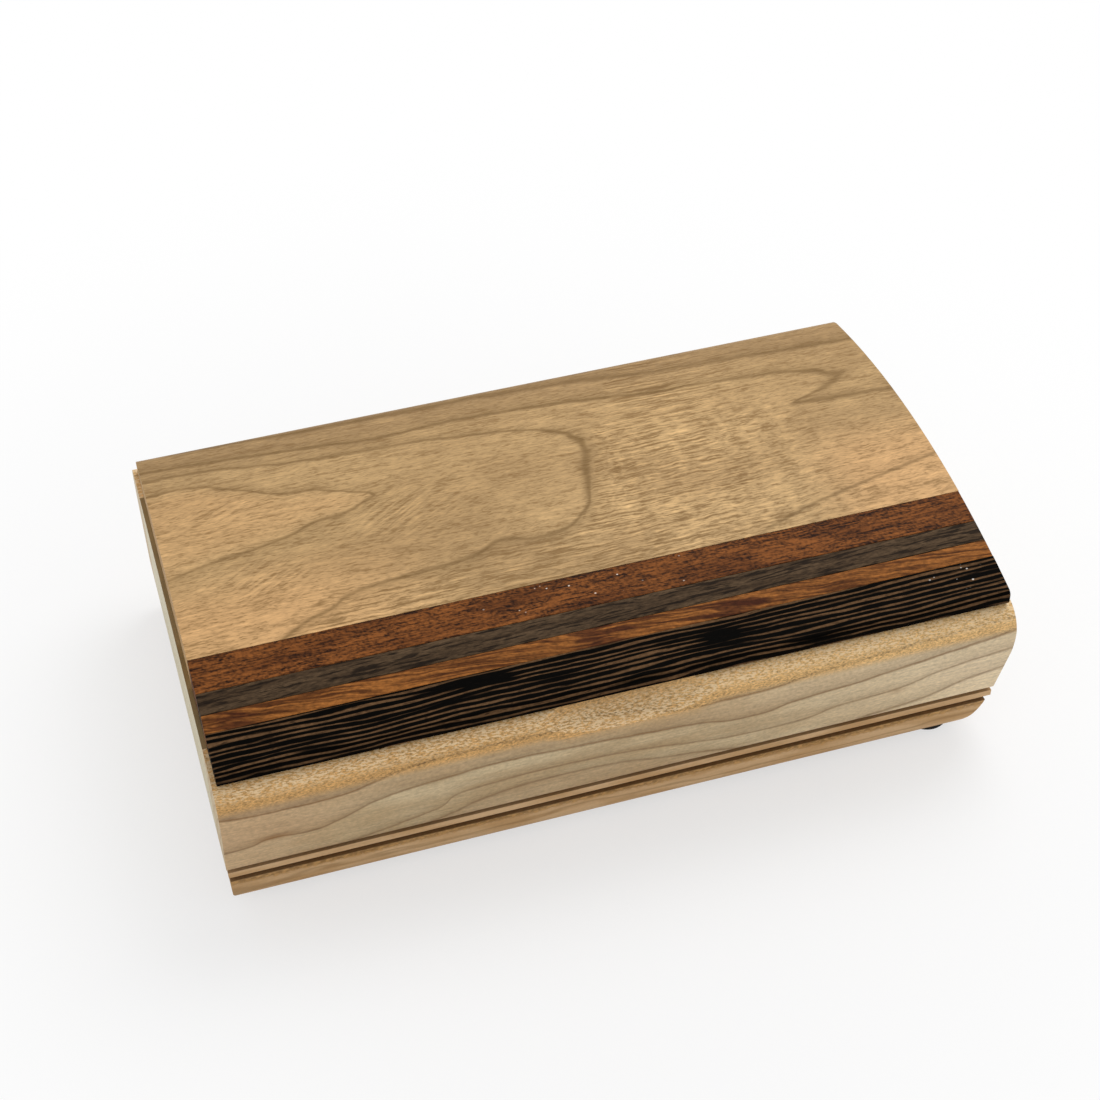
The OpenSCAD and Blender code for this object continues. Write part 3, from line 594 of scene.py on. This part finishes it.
def rough_maple():
    """The base and the floor panel, left a little rough, with both grooves brown from the cutter and
    darkened by painted shade.
    """
    g = Graph("rough_maple")
    x, y, z = g.point
    slow = g.noise(g.point, (40, 30, 5), seed=5.0, detail=2.0) - 0.5
    ragged = g.noise(g.point, (1.6, 1.6, 0.9), seed=9.0, rough=0.65) - 0.5
    fibre = g.noise(g.point, (12, 12, 0.8), seed=13.0, rough=0.62)
    grit = g.noise(g.point, (1.0, 1.0, 0.7), seed=17.0, detail=2.0, rough=0.6)
    tone = g.noise(g.point, (26, 20, 5), seed=23.0)

    # Brown in the grooves, partly burnt by the cutter and partly painted shade in the recess, and a ragged
    # burnt fringe below the lower one. It stays close to the sides, so that the top of the base is clean
    # when the box is slid off it
    fade_depth = 2.0
    full_depth = 1.6
    fringe_height = 1.6
    outside = abs(x).step(BASE_HALF[0] - fade_depth, BASE_HALF[0] - full_depth)
    outside = outside.most(abs(y).step(BASE_HALF[1] - fade_depth, BASE_HALF[1] - full_depth))
    over_groove_foot = z - (BASE_TOP - LOWER_GROOVE)
    in_lower = over_groove_foot.step(-0.4, 0.1)
    lower = (over_groove_foot + fringe_height + slow * 2.2 + ragged * 3.4).step(-0.5, 0.5)
    lower = lower * (z - BASE_TOP).step(0.1, 0.0) * outside
    in_upper = (z - BAND_TOP).step(-0.05, 0.05) * outside
    line = (z + slow * 9.0).bell(8.0, 0.5)

    pale = rgb(220, 184, 140)
    tan = rgb(200, 160, 112)
    line_brown = rgb(146, 110, 66)
    fringe_brown = rgb(136, 98, 50)
    fringe_gold = rgb(204, 158, 96)
    lower_groove_burn_and_shade = rgb(92, 62, 28)
    upper_groove_burn_and_shade = rgb(88, 58, 30)
    fringe = g.mix((ragged + 0.5).step(0.35, 0.7), fringe_brown, fringe_gold)
    colour = g.mix(tone.step(0.35, 0.65), pale, tan)
    colour = g.mix(line * 0.45, colour, line_brown)
    # The grooves' brown is partly burn from the cutter and partly painted shade
    colour = g.mix(lower * 0.8, colour, g.mix(in_lower, fringe, lower_groove_burn_and_shade))
    colour = g.mix(in_upper * 0.9, colour, upper_groove_burn_and_shade)
    colour = g.scaled(colour, 0.78 + 0.26 * fibre + 0.2 * grit)
    return g.finish(colour, rough=0.6, height=fibre * 0.5 + grit, depth_mm=0.05, Specular_IOR_Level=0.2)


# ---- Metal, felt and rubber ----

def brass():
    g = Graph("brass")
    brushed = g.noise(g.point, (6.0, 0.12, 0.12), seed=3.0, detail=2.0)
    tarnish = g.noise(g.point, (3.0, 3.0, 3.0), seed=6.0)
    bright = rgb(200, 168, 100)
    dull = rgb(166, 128, 70)
    colour = g.mix(tarnish.step(0.35, 0.75), bright, dull)
    rough = 0.26 + 0.14 * brushed + 0.1 * tarnish
    return g.finish(colour, rough=rough, height=brushed, depth_mm=0.01, Metallic=1.0)


def felt():
    g = Graph("felt")
    fuzz = g.noise(g.point, (0.5, 0.5, 0.5), seed=4.0, detail=4.0, rough=0.7)
    patch = g.noise(g.point, (14, 14, 14), seed=8.0, detail=2.0)
    dark = rgb(36, 36, 42)
    grey = rgb(66, 66, 74)
    colour = g.mix(fuzz, dark, grey)
    colour = g.scaled(colour, 0.85 + 0.3 * patch)
    return g.finish(
        colour, rough=0.95, height=fuzz, depth_mm=0.25,
        Sheen_Weight=0.35, Sheen_Roughness=0.5, Specular_IOR_Level=0.1)


def rubber():
    g = Graph("rubber")
    grain = g.noise(g.point, (0.4, 0.4, 0.4), seed=2.0, detail=2.0)
    black = rgb(14, 14, 15)
    grey = rgb(34, 34, 36)
    colour = g.mix(grain, black, grey)
    return g.finish(colour, rough=0.6, height=grain, depth_mm=0.03, Specular_IOR_Level=0.4)


FINISHES = {
    "cherry": cherry(), "bubinga": bubinga(), "bog_oak": bog_oak(), "padauk": padauk(), "wenge": wenge(),
    "maple": maple("maple"), "rough_maple": rough_maple(),
    "brass": brass(), "felt": felt(), "rubber": rubber(),
}
END_BOARD = end_board()
OWN_FINISH = {"back_rail": maple("maple_back", flip=-1.0), "left_end": END_BOARD, "right_end": END_BOARD}


# ---- Eased edges ----

# Widths in millimetres, by material. Felt and rubber have none
EASED = {
    "cherry": 0.25, "bubinga": 0.25, "bog_oak": 0.25, "padauk": 0.25, "wenge": 0.25,
    "maple": 0.4, "rough_maple": 0.3, "brass": 0.1,
}


def ease(shape, width):
    """Rounds the edges where two faces meet at more than 40 degrees."""
    same_place = 0.001
    weld = shape.modifiers.new("weld", "WELD")
    weld.merge_threshold = same_place * MM
    bevel = shape.modifiers.new("ease", "BEVEL")
    bevel.width = width * MM
    bevel.segments = 2
    bevel.limit_method = "ANGLE"
    bevel.angle_limit = math.radians(40)
    shape.modifiers.new("shade", "WEIGHTED_NORMAL")


SLOTS = {part["node"]: part["material_slot"] for part in frame["record"]["subparts"]}
for name, shape in nodes.items():
    slot = SLOTS[name]
    shape.data.materials.clear()
    shape.data.materials.append(OWN_FINISH.get(name) or FINISHES[slot])
    if slot in EASED:
        ease(shape, EASED[slot])


# ---- Floor, light and camera ----

def make_floor():
    """A pale floor that keeps the shadow. To the camera it is whiter, and with distance wholly white."""
    half = 1.5
    corners = [(-half, -half, 0), (half, -half, 0), (half, half, 0), (-half, half, 0)]
    mesh = bpy.data.meshes.new("floor")
    mesh.from_pydata(corners, [], [(0, 1, 2, 3)])
    floor = bpy.data.objects.new("floor", mesh)
    bpy.context.scene.collection.objects.link(floor)

    g = Graph("floor")
    paper = g.node("BsdfDiffuse", inputs={"Color": (0.9, 0.9, 0.905)})
    white = g.node("Emission", inputs={"Color": (1.0, 1.0, 1.0), "Strength": 1.0})
    camera_ray = Value(g, g.node("LightPath").outputs["Is Camera Ray"])
    x, y = g.point[:2]
    from_middle = (x * x + y * y).do("SQRT")
    near_share = 0.62
    share = camera_ray * (near_share + (1 - near_share) * from_middle.step(80, 300))
    both = g.node("MixShader", inputs={0: share, 1: paper.outputs[0], 2: white.outputs[0]})
    out = g.node("OutputMaterial")
    g.tree.links.new(both.outputs[0], out.inputs[0])
    mesh.materials.append(g.material)


def make_world(light):
    """Even light from all sides, behind which the camera sees white."""
    world = bpy.data.worlds.new("studio")
    bpy.context.scene.world = world
    world.use_nodes = True
    tree = world.node_tree
    tree.nodes.clear()
    out = tree.nodes.new("ShaderNodeOutputWorld")
    rays = tree.nodes.new("ShaderNodeLightPath")
    both = tree.nodes.new("ShaderNodeMixShader")
    tree.links.new(rays.outputs["Is Camera Ray"], both.inputs[0])
    for number, strength in ((1, light), (2, 1.0)):
        white = tree.nodes.new("ShaderNodeBackground")
        white.inputs["Color"].default_value = (1.0, 1.0, 1.0, 1.0)
        white.inputs["Strength"].default_value = strength
        tree.links.new(white.outputs[0], both.inputs[number])
    tree.links.new(both.outputs[0], out.inputs[0])


def area_lamp(name, place, size, power):
    """A square soft lamp that points at the middle of the box."""
    middle = Vector((0, 0, 0.03))
    data = bpy.data.lights.new(name, "AREA")
    data.size = size
    data.energy = power
    lamp = bpy.data.objects.new(name, data)
    lamp.location = place
    lamp.rotation_mode = "QUATERNION"
    lamp.rotation_quaternion = (middle - Vector(place)).to_track_quat("-Z", "Y")
    bpy.context.scene.collection.objects.link(lamp)


def make_camera():
    """The photograph's camera, in the same frame as the CAD."""
    place = Vector((-126.4, -430.4, 466.3)) * MM
    ahead = Vector((0.2027, 0.7008, -0.6840)).normalized()
    right = Vector((0.9570, -0.2899, -0.0134))
    right = (right - right.dot(ahead) * ahead).normalized()
    up = right.cross(ahead)
    photo_side = 1100
    focal_pixels = 2186
    data = bpy.data.cameras.new("camera")
    data.sensor_fit = "HORIZONTAL"
    data.lens = data.sensor_width * focal_pixels / photo_side
    data.clip_start = 0.01
    camera = bpy.data.objects.new("camera", data)
    camera.matrix_world = Matrix.Translation(place) @ Matrix((right, up, -ahead)).transposed().to_4x4()
    bpy.context.scene.collection.objects.link(camera)
    bpy.context.scene.camera = camera


make_floor()
make_world(light=0.62)
area_lamp("key", place=(0.45, 0.35, 0.95), size=0.7, power=6.0)
make_camera()
bpy.context.scene.view_settings.view_transform = "Standard"
